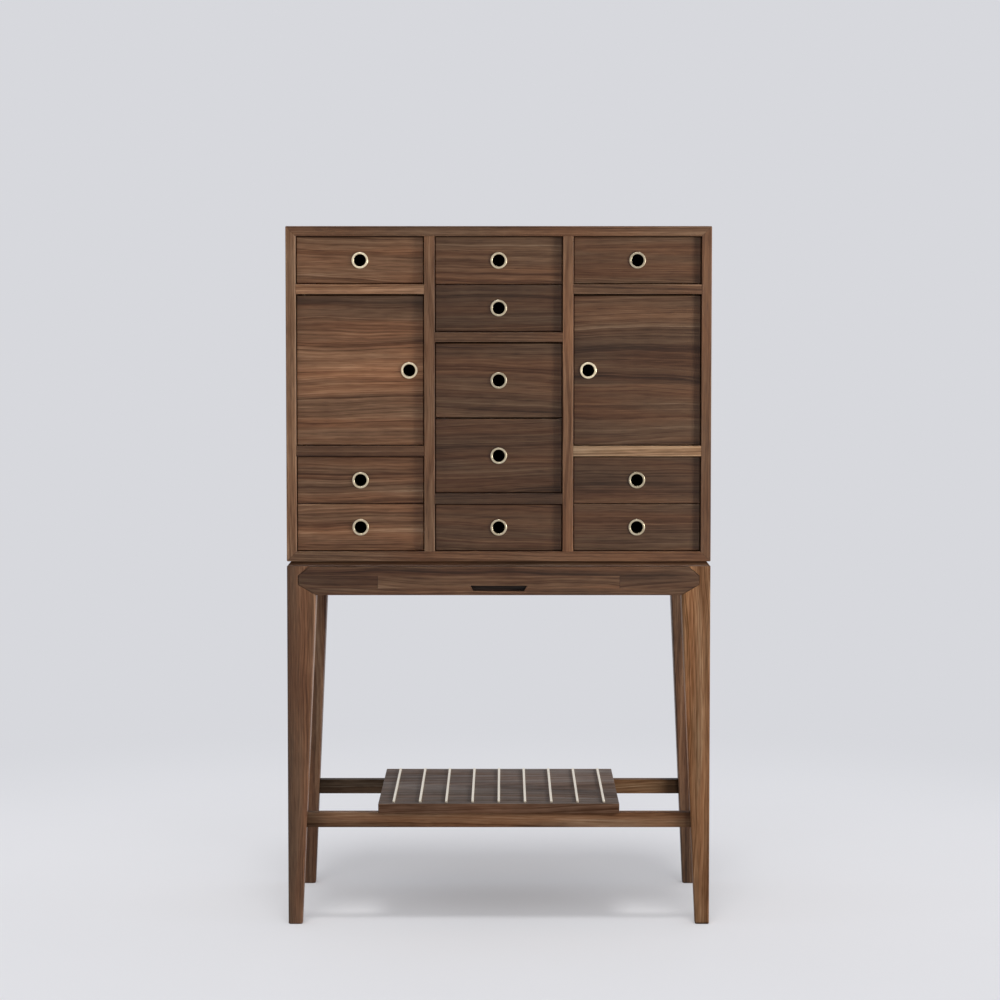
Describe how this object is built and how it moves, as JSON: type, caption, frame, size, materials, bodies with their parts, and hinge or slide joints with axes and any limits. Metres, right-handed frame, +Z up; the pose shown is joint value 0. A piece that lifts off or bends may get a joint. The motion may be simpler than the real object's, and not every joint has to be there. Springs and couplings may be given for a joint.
{
  "type": "cabinet on stand",
  "caption": "Cabinet on stand: a case of small drawers and doors with brass ring pulls, on tapered legs with a shallow apron drawer and a low rack with brass strips.",
  "frame": {"origin": "centre of the footprint on the floor, between the four feet", "axes": "+Z up, -Y out of the front with the drawers and doors, +X to the right as seen from the front"},
  "size_m": [0.85, 0.45, 1.406],
  "materials": {
    "walnut_case": "oiled walnut, grain along each board, satin",
    "walnut_fronts": "oiled walnut veneer, grain across, satin",
    "walnut_stand": "oiled solid walnut, satin",
    "walnut_rack": "oiled walnut, satin",
    "drawer_lining": "pale hardwood, lacquered",
    "runner_wood": "plain hardwood, waxed",
    "back_panel": "walnut veneer, satin",
    "brass": "pale satin brass",
    "steel": "zinc plated"
  },
  "bodies": {
    "root": {"case_back": "back_panel", "case_bottom": "walnut_case", "case_side_left": "walnut_case", "case_side_right": "walnut_case", "case_top": "walnut_case", "column_dividers": "walnut_case", "door_sockets_and_catches": "brass", "drawer_runners": "runner_wood", "leg_back_left": "walnut_stand", "leg_back_right": "walnut_stand", "leg_front_left": "walnut_stand", "leg_front_right": "walnut_stand", "rack_board": "walnut_rack", "rack_strips": "brass", "shelf_boards": "walnut_case", "stand_rails": "walnut_stand", "stand_screws": "steel", "stand_top": "walnut_stand", "stretchers": "walnut_stand"},
    "drawer_left_top": {"drawer_left_top_front": "walnut_fronts", "drawer_left_top_box": "drawer_lining", "drawer_left_top_ring": "brass"},
    "drawer_left_middle": {"drawer_left_middle_front": "walnut_fronts", "drawer_left_middle_box": "drawer_lining", "drawer_left_middle_ring": "brass"},
    "drawer_left_bottom": {"drawer_left_bottom_front": "walnut_fronts", "drawer_left_bottom_box": "drawer_lining", "drawer_left_bottom_ring": "brass"},
    "drawer_right_top": {"drawer_right_top_front": "walnut_fronts", "drawer_right_top_box": "drawer_lining", "drawer_right_top_ring": "brass"},
    "drawer_right_middle": {"drawer_right_middle_front": "walnut_fronts", "drawer_right_middle_box": "drawer_lining", "drawer_right_middle_ring": "brass"},
    "drawer_right_bottom": {"drawer_right_bottom_front": "walnut_fronts", "drawer_right_bottom_box": "drawer_lining", "drawer_right_bottom_ring": "brass"},
    "drawer_center_1": {"drawer_center_1_front": "walnut_fronts", "drawer_center_1_box": "drawer_lining", "drawer_center_1_ring": "brass"},
    "drawer_center_2": {"drawer_center_2_front": "walnut_fronts", "drawer_center_2_box": "drawer_lining", "drawer_center_2_ring": "brass"},
    "drawer_center_3": {"drawer_center_3_front": "walnut_fronts", "drawer_center_3_box": "drawer_lining", "drawer_center_3_ring": "brass"},
    "drawer_center_4": {"drawer_center_4_front": "walnut_fronts", "drawer_center_4_box": "drawer_lining", "drawer_center_4_ring": "brass"},
    "drawer_center_5": {"drawer_center_5_front": "walnut_fronts", "drawer_center_5_box": "drawer_lining", "drawer_center_5_ring": "brass"},
    "apron_drawer": {"apron_drawer_front": "walnut_fronts", "apron_drawer_box": "drawer_lining"},
    "door_left": {"door_left_panel": "walnut_fronts", "door_left_ring": "brass", "door_left_fittings": "brass"},
    "door_right": {"door_right_panel": "walnut_fronts", "door_right_ring": "brass", "door_right_fittings": "brass"}
  },
  "joints": [
    {"name": "drawer_left_top_slide", "type": "slide", "parent": "root", "child": "drawer_left_top", "axis": [0, -1, 0], "range_m": [0, 0.3]},
    {"name": "drawer_left_middle_slide", "type": "slide", "parent": "root", "child": "drawer_left_middle", "axis": [0, -1, 0], "range_m": [0, 0.3]},
    {"name": "drawer_left_bottom_slide", "type": "slide", "parent": "root", "child": "drawer_left_bottom", "axis": [0, -1, 0], "range_m": [0, 0.3]},
    {"name": "drawer_right_top_slide", "type": "slide", "parent": "root", "child": "drawer_right_top", "axis": [0, -1, 0], "range_m": [0, 0.3]},
    {"name": "drawer_right_middle_slide", "type": "slide", "parent": "root", "child": "drawer_right_middle", "axis": [0, -1, 0], "range_m": [0, 0.3]},
    {"name": "drawer_right_bottom_slide", "type": "slide", "parent": "root", "child": "drawer_right_bottom", "axis": [0, -1, 0], "range_m": [0, 0.3]},
    {"name": "drawer_center_1_slide", "type": "slide", "parent": "root", "child": "drawer_center_1", "axis": [0, -1, 0], "range_m": [0, 0.3]},
    {"name": "drawer_center_2_slide", "type": "slide", "parent": "root", "child": "drawer_center_2", "axis": [0, -1, 0], "range_m": [0, 0.3]},
    {"name": "drawer_center_3_slide", "type": "slide", "parent": "root", "child": "drawer_center_3", "axis": [0, -1, 0], "range_m": [0, 0.3]},
    {"name": "drawer_center_4_slide", "type": "slide", "parent": "root", "child": "drawer_center_4", "axis": [0, -1, 0], "range_m": [0, 0.3]},
    {"name": "drawer_center_5_slide", "type": "slide", "parent": "root", "child": "drawer_center_5", "axis": [0, -1, 0], "range_m": [0, 0.3]},
    {"name": "apron_drawer_slide", "type": "slide", "parent": "root", "child": "apron_drawer", "axis": [0, -1, 0], "range_m": [0, 0.25]},
    {"name": "door_left_hinge", "type": "hinge", "parent": "root", "child": "door_left", "pos_m": [-0.3895, -0.21, 1.1195], "axis": [0, 0, -1], "range_deg": [0, 105]},
    {"name": "door_right_hinge", "type": "hinge", "parent": "root", "child": "door_right", "pos_m": [0.3895, -0.21, 1.1195], "axis": [0, 0, 1], "range_deg": [0, 105]}
  ]
}
